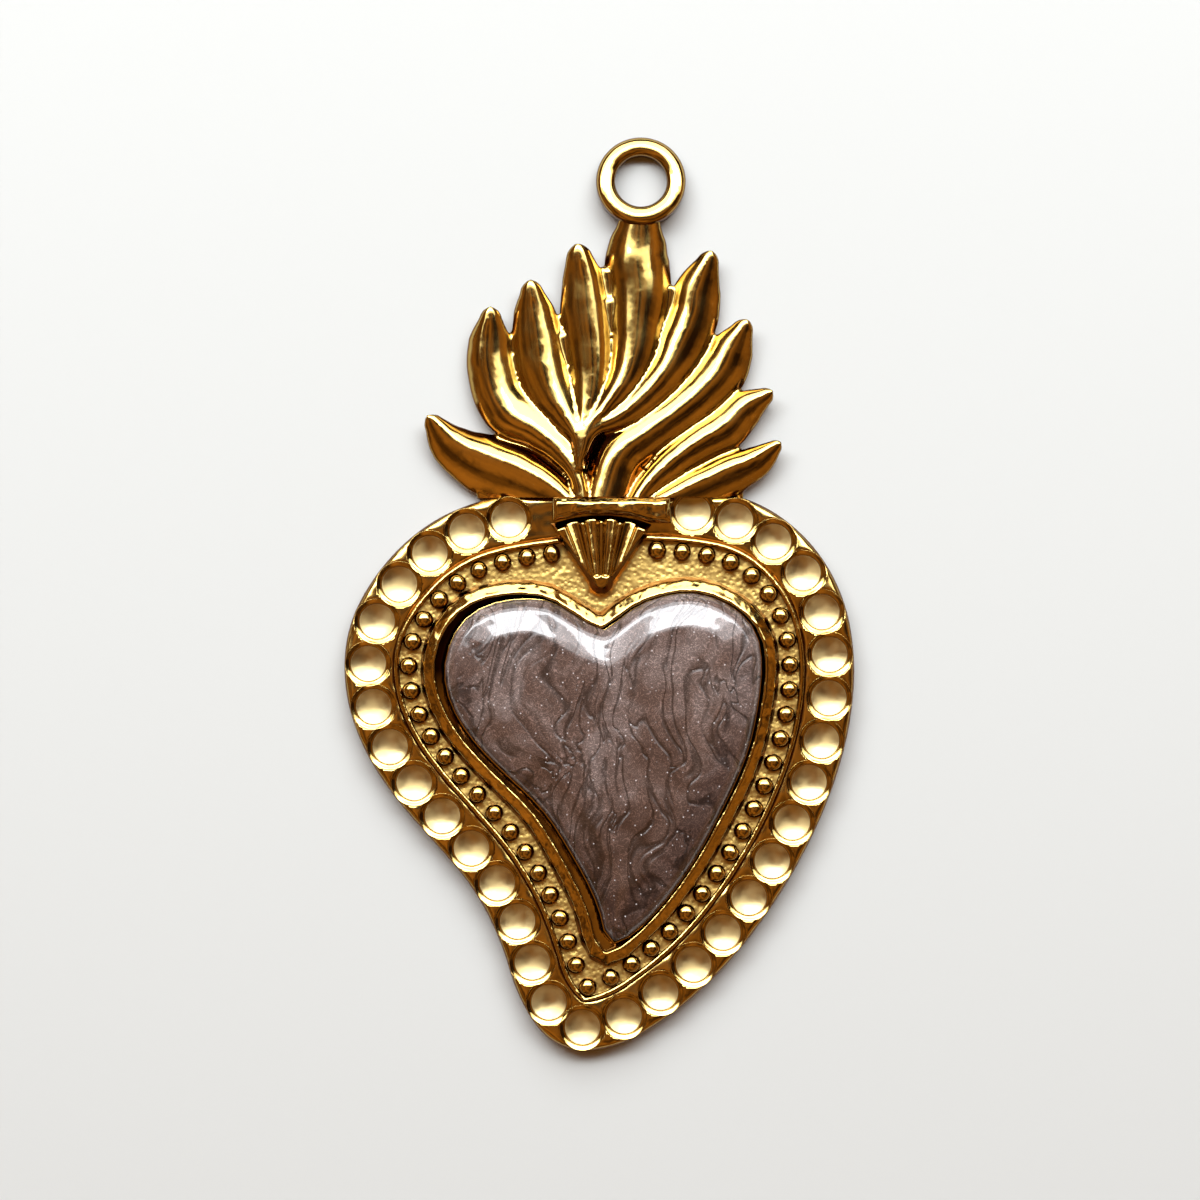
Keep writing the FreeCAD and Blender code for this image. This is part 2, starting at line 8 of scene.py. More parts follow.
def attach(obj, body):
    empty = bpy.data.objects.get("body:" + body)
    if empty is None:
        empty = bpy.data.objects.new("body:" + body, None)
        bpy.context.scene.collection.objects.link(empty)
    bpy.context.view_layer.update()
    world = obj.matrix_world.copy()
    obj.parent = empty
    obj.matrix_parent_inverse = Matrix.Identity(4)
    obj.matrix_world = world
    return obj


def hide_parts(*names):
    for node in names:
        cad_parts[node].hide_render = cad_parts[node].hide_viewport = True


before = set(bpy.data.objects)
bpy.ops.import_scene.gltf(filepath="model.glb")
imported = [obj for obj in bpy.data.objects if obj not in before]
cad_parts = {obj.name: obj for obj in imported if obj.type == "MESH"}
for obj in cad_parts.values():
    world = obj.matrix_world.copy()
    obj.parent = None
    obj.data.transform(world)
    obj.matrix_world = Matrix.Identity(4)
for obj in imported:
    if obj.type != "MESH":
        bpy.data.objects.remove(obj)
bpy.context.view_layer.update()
MM = 0.001


# Camera: it looks straight down on the charm, as the photograph does. The picture is
# 1200 pixels each way, and one pixel is 0.06543 mm at the height of the plate's face.
PICTURE_SIDE = 1200 * 0.06543 * MM
FACE_HEIGHT = 1.6 * MM
LENS = 100
camera_data = bpy.data.cameras.new("camera")
camera_data.lens = LENS
camera_data.clip_start = 0.01
camera = bpy.data.objects.new("camera", camera_data)
camera_height = PICTURE_SIDE / 2 * LENS / (camera_data.sensor_width / 2)
camera.location = (0.016 * MM, -0.425 * MM, FACE_HEIGHT + camera_height)
bpy.context.scene.collection.objects.link(camera)
bpy.context.scene.camera = camera


# Studio: a pale matt paper floor, softboxes hung beyond the hanging ring, and a dim warm room.
# The softboxes light what leans towards the ring, and level metal mirrors the dim room.
def linear(colour):
    """An sRGB hex colour as linear red, green, blue and alpha."""
    parts = [int(colour[start:start + 2], 16) / 255 for start in (1, 3, 5)]
    return [part / 12.92 if part <= 0.04045 else ((part + 0.055) / 1.055) ** 2.4 for part in parts] + [1]


def add_node(tree, kind, settings, links=()):
    """A shader node with its settings, and links from other nodes' outputs to its inputs."""
    node = tree.nodes.new(kind)
    for name, value in settings.items():
        if isinstance(name, str) and hasattr(node, name):
            setattr(node, name, value)
        else:
            node.inputs[name].default_value = value
    for source, name in links:
        tree.links.new(source, node.inputs[name])
    return node


def new_material(name):
    """A material with one Principled shader, and its tree and shader."""
    material = bpy.data.materials.new(name)
    material.use_nodes = True
    return material, material.node_tree, material.node_tree.nodes["Principled BSDF"]


def deselect_all():
    """Nothing stays selected."""
    for other in bpy.context.selected_objects:
        other.select_set(False)


FLOOR_SIDE = 1.6
FLOOR_LEVEL = -0.02 * MM
deselect_all()
bpy.ops.mesh.primitive_plane_add(size=FLOOR_SIDE, location=(0, 0, FLOOR_LEVEL))
floor = bpy.context.object
floor.name = "floor"
paper, tree, shader = new_material("matt_paper")
shader.inputs["Base Color"].default_value = linear("#E1E6E4")
shader.inputs["Roughness"].default_value = 0.9
shader.inputs["Specular IOR Level"].default_value = 0.1
floor.data.materials.append(paper)


def softbox(name, radiance, width, across, near, far, height):
    """A level softbox over the side of the hanging ring, from near to far along Y, in metres."""
    data = bpy.data.lights.new(name, "AREA")
    data.shape = "RECTANGLE"
    data.size = width
    data.size_y = far - near
    data.energy = radiance * math.pi * width * (far - near)
    data.color = linear("#F8FBFF")[:3]
    light = bpy.data.objects.new(name, data)
    light.location = (across, (near + far) / 2, height)
    bpy.context.scene.collection.objects.link(light)


softbox("wide_softbox", radiance=1.5, width=1.15, across=0.0, near=0.15, far=1.3, height=0.45)
softbox("inner_softbox", radiance=1.7, width=1.0, across=0.0, near=0.21, far=1.3, height=0.449)
softbox("strip_softbox", radiance=8.0, width=0.7, across=-0.05, near=0.22, far=0.33, height=0.44)

room = bpy.context.scene.world or bpy.data.worlds.new("room")
bpy.context.scene.world = room
room.use_nodes = True
walls = room.node_tree
seen = add_node(walls, "ShaderNodeTexCoord", {}).outputs["Generated"]
clutter = add_node(walls, "ShaderNodeTexNoise", {"Scale": 2.2, "Detail": 3.0}, [(seen, "Vector")])
shades = add_node(walls, "ShaderNodeValToRGB", {}, [(clutter.outputs["Fac"], "Fac")])
shades.color_ramp.elements[0].color = linear("#1E0F07")
shades.color_ramp.elements[0].position = 0.40
shades.color_ramp.elements[1].color = linear("#A06A30")
shades.color_ramp.elements[1].position = 0.70
walls.links.new(shades.outputs["Color"], walls.nodes["Background"].inputs["Color"])
walls.nodes["Background"].inputs["Strength"].default_value = 1.0
bpy.context.scene.view_settings.view_transform = "Standard"


# Heart plate: the charm's body, cast in base metal, tumbled and gold plated. Its corners are
# soft and its face a little wavy. Its seats are cut out with the turned cups that line them.
def gilt(name, colour, roughness, wave_mm, wave_depth_mm, grain_mm=0.25, grain_depth_mm=0.002):
    """Gold plate over a cast and tumbled face, with shallow waves and fine scratches.

    Steep flanks get a painted brown shade, so that the rims look as dark from above as they should
    and don't mirror the pale floor. The grain is drawn coarser than real scratches, so that it shows.
    """
    material, tree, shader = new_material(name)
    place = add_node(tree, "ShaderNodeTexCoord", {}).outputs["Object"]
    waves = add_node(
        tree, "ShaderNodeTexNoise", {"Scale": 1 / (wave_mm * MM), "Detail": 2.0}, [(place, "Vector")]
    )
    grain = add_node(
        tree, "ShaderNodeTexNoise", {"Scale": 1 / (grain_mm * MM), "Detail": 4.0}, [(place, "Vector")]
    )
    waved = add_node(
        tree, "ShaderNodeBump", {"Distance": wave_depth_mm * MM, "Strength": 1.0},
        [(waves.outputs["Fac"], "Height")],
    )
    grained = add_node(
        tree, "ShaderNodeBump", {"Distance": grain_depth_mm * MM, "Strength": 1.0},
        [(grain.outputs["Fac"], "Height"), (waved.outputs["Normal"], "Normal")],
    )
    worn = add_node(
        tree, "ShaderNodeMapRange",
        {"From Min": 0.35, "From Max": 0.7, "To Min": roughness * 0.8, "To Max": roughness * 1.4},
        [(waves.outputs["Fac"], "Value")],
    )
    # Painted shade: the gold is mixed towards brown on steep flanks.
    flank = add_node(tree, "ShaderNodeAttribute", {"attribute_name": "steep"})
    plating_and_painted_shade = add_node(tree, "ShaderNodeMix", {"data_type": "RGBA"}, [(flank.outputs["Fac"], 0)])
    plating_and_painted_shade.inputs[6].default_value = linear(colour)
    plating_and_painted_shade.inputs[7].default_value = linear(FLANK_PAINTED_SHADE)
    tree.links.new(plating_and_painted_shade.outputs[2], shader.inputs["Base Color"])
    shader.inputs["Metallic"].default_value = 1.0
    tree.links.new(worn.outputs["Result"], shader.inputs["Roughness"])
    tree.links.new(grained.outputs["Normal"], shader.inputs["Normal"])
    return material


def copied(node, name):
    """A new piece with a CAD node's own mesh, its loose triangles merged."""
    piece = bpy.data.objects.new(name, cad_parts[node].data.copy())
    piece.data.name = name
    piece.data.materials.clear()
    bpy.context.scene.collection.objects.link(piece)
    hold(piece)
    bpy.ops.object.mode_set(mode="EDIT")
    bpy.ops.mesh.select_all(action="SELECT")
    bpy.ops.mesh.remove_doubles(threshold=MERGE)
    bpy.ops.object.mode_set(mode="OBJECT")
    return piece


def hold(piece):
    """Only this piece is selected and active."""
    deselect_all()
    bpy.context.view_layer.objects.active = piece
    piece.select_set(True)


def finished(piece, kind, **settings):
    """A modifier is set up and applied."""
    hold(piece)
    modifier = piece.modifiers.new(kind.lower(), kind)
    for name, value in settings.items():
        setattr(modifier, name, value)
    bpy.ops.object.modifier_apply(modifier=modifier.name)


def cast(piece, voxel, rounds):
    """The look of a casting: one skin of even small faces, with softened corners."""
    finished(piece, "REMESH", mode="VOXEL", voxel_size=voxel * MM, use_smooth_shade=True)
    finished(piece, "SMOOTH", factor=0.5, iterations=rounds)


def dressed(piece, material, slot, *nodes):
    """The piece's steep flanks are marked, it gets its material, the CAD nodes it stands for are hidden,
    and it goes on the root body. The slot is not used.
    """
    # The steep mark sets the painted brown shade on gilt flanks, and thins the enamel's clear coat.
    steep = piece.data.attributes.new("steep", "FLOAT", "POINT")
    for vertex in piece.data.vertices:
        share = (PAINTED_SHADE_BELOW - vertex.normal.z) / (PAINTED_SHADE_BELOW - FULL_PAINTED_SHADE_BELOW)
        steep.data[vertex.index].value = min(1, max(0, share))
    piece.data.materials.clear()
    piece.data.materials.append(material)
    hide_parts(*nodes)
    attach(piece, "root")


MERGE = 0.001 * MM
GOLD = "#FAD97F"
# The brown of the painted shade on steep gilt flanks.
FLANK_PAINTED_SHADE = "#6E4216"

# Cosines of the slope: the painted brown shade starts at 33 degrees and is full at 55 degrees.
PAINTED_SHADE_BELOW = 0.84
FULL_PAINTED_SHADE_BELOW = 0.58
plate_gold = gilt("tumbled_gilt", GOLD, roughness=0.14, wave_mm=2.6, wave_depth_mm=0.10)
plate = copied("heart_plate", "heart_plate_cast")
cast(plate, voxel=0.15, rounds=4)

# The rim is worn round, and the face carries the shallow waves of a lost-wax casting.
RIM_FROM = 0.3
RIM_TO = 0.6
RIM_WEAR = 1.2
WEAR_ABOVE = 0.9
FACE_ABOVE = 1.45
DIP_SHARE = 0.3
SWELL = 2.2
SWELL_DEPTH = 0.26
rim_line = kdtree.KDTree(len(plate.data.vertices))
rim_band = [vertex.co for vertex in plate.data.vertices if RIM_FROM * MM < vertex.co.z < RIM_TO * MM]
for number, place in enumerate(rim_band):
    rim_line.insert((place.x, place.y, 0), number)
rim_line.balance()
worn = plate.vertex_groups.new(name="worn_rim")
face = plate.vertex_groups.new(name="face")
for vertex in plate.data.vertices:
    if vertex.co.z > WEAR_ABOVE * MM:
        from_rim = rim_line.find((vertex.co.x, vertex.co.y, 0))[2] / MM
        worn.add([vertex.index], max(0, 1 - from_rim / RIM_WEAR), "REPLACE")
        face.add([vertex.index], 1 if vertex.co.z > FACE_ABOVE * MM else DIP_SHARE, "REPLACE")
finished(plate, "SMOOTH", factor=0.5, iterations=7, vertex_group="worn_rim")
swell = bpy.data.textures.new("swell", "CLOUDS")
swell.noise_scale = SWELL * MM
finished(
    plate, "DISPLACE", texture=swell, texture_coords="LOCAL", direction="Z",
    strength=SWELL_DEPTH * MM, mid_level=0.5, vertex_group="face",
)

# The channel's ground is punched granular, and the gap round the enamel is darkened with a painted
# shade of dark brown, most at the upper lobes and least at the tail.
GRIT = 0.27
GRIT_DEPTH = 0.05
GROUND_ROUGHNESS = 0.42
GAP_SHADE = "#3A210C"
GAP_SHADE_REACH = 0.95
GAP_SHADE_BELOW = 1.7
GAP_SHADE_LEAST = 0.3
GAP_SHADE_TAIL = -9
GAP_SHADE_FADE = 4
FOOT_BELOW = 2.06
cad_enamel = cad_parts["enamel_heart"].data
enamel_foot = [vertex.co for vertex in cad_enamel.vertices if vertex.co.z < FOOT_BELOW * MM]
foot_line = kdtree.KDTree(len(enamel_foot))
for number, place in enumerate(enamel_foot):
    foot_line.insert((place.x, place.y, 0), number)
foot_line.balance()
gap_shade = plate.data.attributes.new("gap_shade", "FLOAT", "POINT")
for vertex in plate.data.vertices:
    near = foot_line.find((vertex.co.x, vertex.co.y, 0))[2] < GAP_SHADE_REACH * MM
    open_gap = min(1, max(GAP_SHADE_LEAST, (vertex.co.y / MM - GAP_SHADE_TAIL) / GAP_SHADE_FADE))
    gap_shade.data[vertex.index].value = open_gap if near and vertex.co.z < GAP_SHADE_BELOW * MM else 0.0
tree = plate_gold.node_tree
shader = tree.nodes["Principled BSDF"]
place = add_node(tree, "ShaderNodeTexCoord", {}).outputs["Object"]
level = add_node(tree, "ShaderNodeSeparateXYZ", {}, [(place, "Vector")]).outputs["Z"]
ground = add_node(
    tree, "ShaderNodeMapRange",
    {"From Min": 1.38 * MM, "From Max": 1.46 * MM, "To Min": 1.0, "To Max": 0.0}, [(level, "Value")],
)
grit = add_node(
    tree, "ShaderNodeTexVoronoi", {"Scale": 1 / (GRIT * MM), "feature": "SMOOTH_F1"}, [(place, "Vector")]
)
dark = add_node(tree, "ShaderNodeAttribute", {"attribute_name": "gap_shade"})
outside = add_node(
    tree, "ShaderNodeMapRange", {"From Min": 0.0, "From Max": 0.2, "To Min": 1.0, "To Max": 0.0},
    [(dark.outputs["Fac"], "Value")],
)
struck = add_node(
    tree, "ShaderNodeMath", {"operation": "MULTIPLY"},
    [(ground.outputs["Result"], 0), (outside.outputs["Result"], 1)],
)
punched = add_node(
    tree, "ShaderNodeBump", {"Distance": GRIT_DEPTH * MM},
    [
        (struck.outputs["Value"], "Strength"), (grit.outputs["Distance"], "Height"),
        (shader.inputs["Normal"].links[0].from_socket, "Normal"),
    ],
)
tree.links.new(punched.outputs["Normal"], shader.inputs["Normal"])
polish = shader.inputs["Roughness"].links[0].from_socket
matt = add_node(
    tree, "ShaderNodeMix", {"data_type": "FLOAT", 3: GROUND_ROUGHNESS},
    [(struck.outputs["Value"], 0), (polish, 2)],
)
tree.links.new(matt.outputs[0], shader.inputs["Roughness"])
plating_and_painted_shade = shader.inputs["Base Color"].links[0].from_socket
# Painted shade: the gold is mixed to dark brown in the gap round the enamel.
skin = add_node(tree, "ShaderNodeMix", {"data_type": "RGBA"}, [(dark.outputs["Fac"], 0), (plating_and_painted_shade, 6)])
skin.inputs[7].default_value = linear(GAP_SHADE)
tree.links.new(skin.outputs[2], shader.inputs["Base Color"])
dressed(plate, plate_gold, "gilt_plate", "heart_plate")


# Seat cups: 32 shallow dishes for flat-back stones, cast in the plate, with a thin raised lip
# and a countersink round each. They are blasted satin inside before plating, so they fade from
# brown to cream; their gold is paler than the polished gold, partly as a painted highlight that
# makes the lit part cream. Profiles are in mm.
def clusters(node, height, reach):
    """Middles of the groups of a CAD node's corners that lie at a height."""
    groups = []
    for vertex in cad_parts[node].data.vertices:
        if abs(vertex.co.z - height) < MERGE:
            near = [group for group in groups if (group[0] - vertex.co).length < reach]
            if near:
                near[0].append(vertex.co.copy())
            else:
                groups.append([vertex.co.copy()])
    return [sum(group, Vector()) / len(group) for group in groups]


def turned(name, profile, steps):
    """Lathe work: a profile of radii and heights in mm, spun round the Z axis."""
    deselect_all()
    bpy.ops.mesh.primitive_plane_add(size=MM)
    piece = bpy.context.object
    piece.name = name
    bpy.ops.object.mode_set(mode="EDIT")
    bpy.ops.mesh.select_all(action="SELECT")
    bpy.ops.mesh.merge(type="CENTER")
    bpy.ops.transform.translate(value=(profile[0][0] * MM, 0, profile[0][1] * MM))
    for (radius, height), (next_radius, next_height) in zip(profile, profile[1:]):
        step = ((next_radius - radius) * MM, 0, (next_height - height) * MM)
        bpy.ops.mesh.extrude_region_move(TRANSFORM_OT_translate={"value": step})
    bpy.ops.mesh.select_all(action="SELECT")
    bpy.ops.mesh.spin(steps=steps, angle=math.tau, center=(0, 0, 0), axis=(0, 0, 1))
    bpy.ops.mesh.select_all(action="SELECT")
    bpy.ops.mesh.remove_doubles(threshold=MERGE)
    bpy.ops.mesh.normals_make_consistent(inside=False)
    bpy.ops.object.mode_set(mode="OBJECT")
    bpy.ops.object.shade_smooth()
    return piece


def set_out(pattern, name, places):
    """Copies of a pattern piece, each with its own mesh at its place, joined as one object."""
    copies = []
    for place in places:
        one = pattern.copy()
        one.data = pattern.data.copy()
        one.data.transform(place)
        bpy.context.scene.collection.objects.link(one)
        copies.append(one)
    bpy.data.objects.remove(pattern)
    deselect_all()
    for one in copies:
        one.select_set(True)
    bpy.context.view_layer.objects.active = copies[0]
    bpy.ops.object.join()
    copies[0].name = name
    copies[0].data.name = name
    return copies[0]


CAD_SEAT_FLOOR = 1.0
CAD_SEAT_REACH = 1.3
DRILL_RADIUS = 1.5
DRILL_LENGTH = 1.5
DRILL_BOTTOM = 0.92
SEAT_STEPS = 48
seats = clusters("heart_plate", CAD_SEAT_FLOOR * MM, CAD_SEAT_REACH * MM)
seat_places = [Matrix.Translation((middle.x, middle.y, 0)) for middle in seats]

deselect_all()
bpy.ops.mesh.primitive_cylinder_add(
    vertices=SEAT_STEPS, radius=DRILL_RADIUS * MM, depth=DRILL_LENGTH * MM, location=(0, 0, 0)
)
drill = bpy.context.object
drill.data.transform(Matrix.Translation((0, 0, (DRILL_BOTTOM + DRILL_LENGTH / 2) * MM)))
drills = set_out(drill, "drills", seat_places)
finished(plate, "BOOLEAN", operation="DIFFERENCE", solver="EXACT", object=drills, use_self=True)
bpy.data.objects.remove(drills)

DISH_PROFILE = [
    (0, 1.05), (0.3, 1.071), (0.6, 1.134), (0.9, 1.239), (1.1, 1.332), (1.19, 1.38), (1.2, 1.3),
    (1.2, 0.95), (0, 0.95),
]
# The pale satin gold is partly a painted highlight.
satin_gold = gilt(
    "blasted_gilt", "#F5DFA0", roughness=0.38, wave_mm=1.2, wave_depth_mm=0.02, grain_mm=0.06,
    grain_depth_mm=0.006,
)
dishes = set_out(turned("dish", DISH_PROFILE, SEAT_STEPS), "seat_dishes", seat_places)
dressed(dishes, satin_gold, "gilt_plate")
LIP_PROFILE = [
    (1.14, 1.34), (1.17, 1.42), (1.2, 1.47), (1.215, 1.478), (1.24, 1.474), (1.25, 1.476), (1.36, 1.53),
    (1.475, 1.586), (1.483, 1.588), (1.49, 1.57), (1.49, 0.95), (1.14, 0.95), (1.14, 1.34),
]
lip_gold = gilt("burnished_gilt", GOLD, roughness=0.10, wave_mm=0.8, wave_depth_mm=0.02)
lips = set_out(turned("lip", LIP_PROFILE, SEAT_STEPS), "seat_lips", seat_places)
dressed(lips, lip_gold, "gilt_plate")


# Border wire: a thin gilt ridge along the channel's outer wall, soldered on and burnished by
# hand, so its top is round and a little uneven.
WIRE_ROUND = 0.165
WIRE_EDGE = math.radians(40)
WIRE_SMOOTH = math.radians(50)
wire_gold = gilt("burnished_wire_gilt", GOLD, roughness=0.10, wave_mm=0.5, wave_depth_mm=0.05)
wire = copied("border_wire", "border_wire_round")
finished(wire, "BEVEL", width=WIRE_ROUND * MM, segments=3, limit_method="ANGLE", angle_limit=WIRE_EDGE)
bpy.ops.object.shade_smooth_by_angle(angle=WIRE_SMOOTH)
dressed(wire, wire_gold, "gilt_trim", "border_wire")


# Beads: 48 gilt grains cast with the plate in the channel, each tumbled to a soft dome, so no
# two are quite the same size. The profile is in mm above the channel's floor.
BEAD_PROFILE = [
    (0, 0.85), (0.14, 0.835), (0.27, 0.79), (0.39, 0.71), (0.48, 0.6), (0.545, 0.46), (0.572, 0.3),
    (0.56, 0.15), (0.5, 0.0), (0, 0),
]
BEAD_STEPS = 24
CHANNEL_FLOOR = 1.3
CAD_BEAD_TOP = 2.15
CAD_BEAD_REACH = 0.5
random.seed(7)
bead_places = [
    Matrix.Translation((middle.x, middle.y, CHANNEL_FLOOR * MM))
    @ Matrix.Rotation(random.uniform(0, math.tau), 4, "Z")
    @ Matrix.Diagonal((random.uniform(1.06, 1.13), random.uniform(1.03, 1.1), random.uniform(0.93, 1.0), 1))
    for middle in clusters("bead_row", CAD_BEAD_TOP * MM, CAD_BEAD_REACH * MM)
]
bead_gold = gilt("tumbled_bead_gilt", GOLD, roughness=0.13, wave_mm=0.9, wave_depth_mm=0.05)
beads = set_out(turned("bead", BEAD_PROFILE, BEAD_STEPS), "bead_domes", bead_places)
dressed(beads, bead_gold, "gilt_trim", "bead_row")


# Bezel: the gilt wall round the enamel, cast with the plate. It was dressed by hand with a
# punch, which left it a little dented.
DENT = 0.9
DENT_DEPTH = 0.11
bezel_gold = gilt("dressed_gilt", GOLD, roughness=0.12, wave_mm=1.1, wave_depth_mm=0.035)
bezel = copied("bezel", "bezel_wall")
cast(bezel, voxel=0.09, rounds=5)
dents = bpy.data.textures.new("dents", "CLOUDS")
dents.noise_scale = DENT * MM
finished(
    bezel, "DISPLACE", texture=dents, texture_coords="LOCAL", direction="NORMAL",
    strength=DENT_DEPTH * MM, mid_level=0.5,
)
dressed(bezel, bezel_gold, "gilt_trim", "bezel")


# Enamel heart: grey-brown pearl enamel, poured on the pad and fired to a glossy dome. Its
# patterns are in mm: how wide the tone drifts, how wide and how far the flow bends the folds,
# and how large folds, wisps and flakes are.
DRIFT = 3.5
FLOW = 6.5
CURL = 11
FOLD = 1.6
FOLD_DEPTH = 0.11
WISP = 0.5
FLAKE = 0.34
enamel = copied("enamel_heart", "enamel_dome")
cast(enamel, voxel=0.15, rounds=9)

# Tone: it drifts in soft clouds, and is darker towards the tail.
TAIL = -23
CLEFT = -1
pearl, tree, shader = new_material("fired_pearl_enamel")
place = add_node(tree, "ShaderNodeTexCoord", {}).outputs["Object"]
height = add_node(tree, "ShaderNodeSeparateXYZ", {}, [(place, "Vector")]).outputs["Y"]
swirl = add_node(
    tree, "ShaderNodeTexNoise", {"Scale": 1 / (DRIFT * MM), "Detail": 5.0, "Distortion": 1.2},
    [(place, "Vector")],
)
depth = add_node(
    tree, "ShaderNodeMapRange",
    {"From Min": TAIL * MM, "From Max": CLEFT * MM, "To Min": -0.24, "To Max": 0.17}, [(height, "Value")],
)
level = add_node(
    tree, "ShaderNodeMath", {"operation": "ADD"}, [(depth.outputs["Result"], 0), (swirl.outputs["Fac"], 1)]
)
tone = add_node(tree, "ShaderNodeValToRGB", {}, [(level.outputs["Value"], "Fac")])
tone.color_ramp.elements[0].color = linear("#3D2A22")
tone.color_ramp.elements[0].position = 0.22
tone.color_ramp.elements[1].color = linear("#857874")
tone.color_ramp.elements[1].position = 0.86
middle = tone.color_ramp.elements.new(0.5)
middle.color = linear("#5A4841")

# Folds: where the pour was drawn down before firing it has thin wrinkles. They are a bump, and
# the tone is darkened along each fold as painted shade.
flow = add_node(tree, "ShaderNodeTexNoise", {"Scale": 1 / (FLOW * MM), "Detail": 1.0}, [(place, "Vector")])
curled = add_node(
    tree, "ShaderNodeVectorMath", {"operation": "MULTIPLY_ADD", 1: (CURL * MM, CURL * MM, 0)},
    [(flow.outputs["Color"], 0), (place, 2)],
)
drawn = add_node(
    tree, "ShaderNodeMapping", {"Scale": (1.0, 0.3, 1.0)}, [(curled.outputs["Vector"], "Vector")]
)
folds = add_node(
    tree, "ShaderNodeTexNoise", {"Scale": 1 / (FOLD * MM), "Detail": 2.0, "Distortion": 0.5},
    [(drawn.outputs["Vector"], "Vector")],
)
off_fold = add_node(tree, "ShaderNodeMath", {"operation": "SUBTRACT", 1: 0.5}, [(folds.outputs["Fac"], 0)])
near_fold = add_node(tree, "ShaderNodeMath", {"operation": "ABSOLUTE"}, [(off_fold.outputs["Value"], 0)])
# Painted shade: the tone is darkened along each fold.
fold_shade_and_relief = add_node(
    tree, "ShaderNodeMapRange",
    {"interpolation_type": "SMOOTHSTEP", "From Min": 0.0, "From Max": 0.06, "To Min": 0.42, "To Max": 1.06},
    [(near_fold.outputs["Value"], "Value")],
)

# Wisps: curled streaks of pearl powder, and single flakes of mica, whose sparkle is painted as
# white glints. Most real flakes are finer than a pixel, and they are drawn about 0.1 mm wide so
# that they show.
wisps = add_node(
    tree, "ShaderNodeTexNoise", {"Scale": 1 / (WISP * MM), "Detail": 1.5, "Distortion": 3.0},
    [(place, "Vector")],
)
off_wisp = add_node(tree, "ShaderNodeMath", {"operation": "SUBTRACT", 1: 0.5}, [(wisps.outputs["Fac"], 0)])
near_wisp = add_node(tree, "ShaderNodeMath", {"operation": "ABSOLUTE"}, [(off_wisp.outputs["Value"], 0)])
streak = add_node(
    tree, "ShaderNodeMapRange", {"From Min": 0.0, "From Max": 0.04, "To Min": 2.9, "To Max": 0.9},
    [(near_wisp.outputs["Value"], "Value")],
)
flakes = add_node(tree, "ShaderNodeTexVoronoi", {"Scale": 1 / (FLAKE * MM)}, [(place, "Vector")])
flake = add_node(
    tree, "ShaderNodeMapRange", {"From Min": 0.09, "From Max": 0.18, "To Min": 0.9, "To Max": 0.0},
    [(flakes.outputs["Distance"], "Value")],
)
chance = add_node(tree, "ShaderNodeSeparateColor", {}, [(flakes.outputs["Color"], "Color")])
turned_flat = add_node(
    tree, "ShaderNodeMapRange", {"From Min": 0.45, "From Max": 0.85}, [(chance.outputs["Red"], "Value")]
)
glint = add_node(
    tree, "ShaderNodeMath", {"operation": "MULTIPLY"},
    [(flake.outputs["Result"], 0), (turned_flat.outputs["Result"], 1)],
)
shaded = add_node(
    tree, "ShaderNodeMath", {"operation": "MULTIPLY"},
    [(fold_shade_and_relief.outputs["Result"], 0), (streak.outputs["Result"], 1)],
)
poured = add_node(
    tree, "ShaderNodeVectorMath", {"operation": "SCALE"},
    [(tone.outputs["Color"], "Vector"), (shaded.outputs["Value"], "Scale")],
)
# Painted glints: the flakes that lie flat are mixed to white.
colour = add_node(
    tree, "ShaderNodeMix", {"data_type": "RGBA"},
    [(glint.outputs["Value"], 0), (poured.outputs["Vector"], 6)],
)
colour.inputs[7].default_value = linear("#F4EFF0")
tree.links.new(colour.outputs[2], shader.inputs["Base Color"])
relief = add_node(
    tree, "ShaderNodeBump", {"Distance": FOLD_DEPTH * MM, "Strength": 0.8},
    [(fold_shade_and_relief.outputs["Result"], "Height")],
)
tree.links.new(relief.outputs["Normal"], shader.inputs["Normal"])
shader.inputs["Roughness"].default_value = 0.3

# The clear coat fades on the steep edge, so that the edge doesn't mirror the pale floor.
flank = add_node(tree, "ShaderNodeAttribute", {"attribute_name": "steep"})
gloss = add_node(
    tree, "ShaderNodeMapRange", {"From Min": 0.5, "From Max": 1.0, "To Min": 1.0, "To Max": 0.1},
    [(flank.outputs["Fac"], "Value")],
)
tree.links.new(gloss.outputs["Result"], shader.inputs["Coat Weight"])
shader.inputs["Coat IOR"].default_value = 1.7
shader.inputs["Coat Roughness"].default_value = 0.03
dressed(enamel, pearl, "pearl_enamel", "enamel_heart")

# Lip: a fine rolled edge of the gilt pad holds the enamel all round. It follows the foot of the
# enamel, and is burnished like the lips of the seats.
LIP_RADIUS = 0.1
FACING_DOWN = -0.9
rim = copied("enamel_heart", "enamel_lip")
bpy.ops.object.mode_set(mode="EDIT")
bpy.ops.mesh.select_all(action="DESELECT")
bpy.ops.object.mode_set(mode="OBJECT")
for polygon in rim.data.polygons:
    polygon.select = polygon.normal.z < FACING_DOWN
bpy.ops.object.mode_set(mode="EDIT")
bpy.ops.mesh.region_to_loop()
bpy.ops.mesh.duplicate()
bpy.ops.mesh.separate(type="SELECTED")
bpy.ops.object.mode_set(mode="OBJECT")
lip = next(other for other in bpy.context.selected_objects if other != rim)
bpy.data.objects.remove(rim)
hold(lip)
bpy.ops.object.convert(target="CURVE")
lip = bpy.context.object
lip.data.bevel_depth = LIP_RADIUS * MM
lip.data.bevel_resolution = 3
bpy.ops.object.convert(target="MESH")
lip = bpy.context.object
lip.name = "enamel_lip"
bpy.ops.object.shade_smooth()
dressed(lip, lip_gold, "gilt_plate")


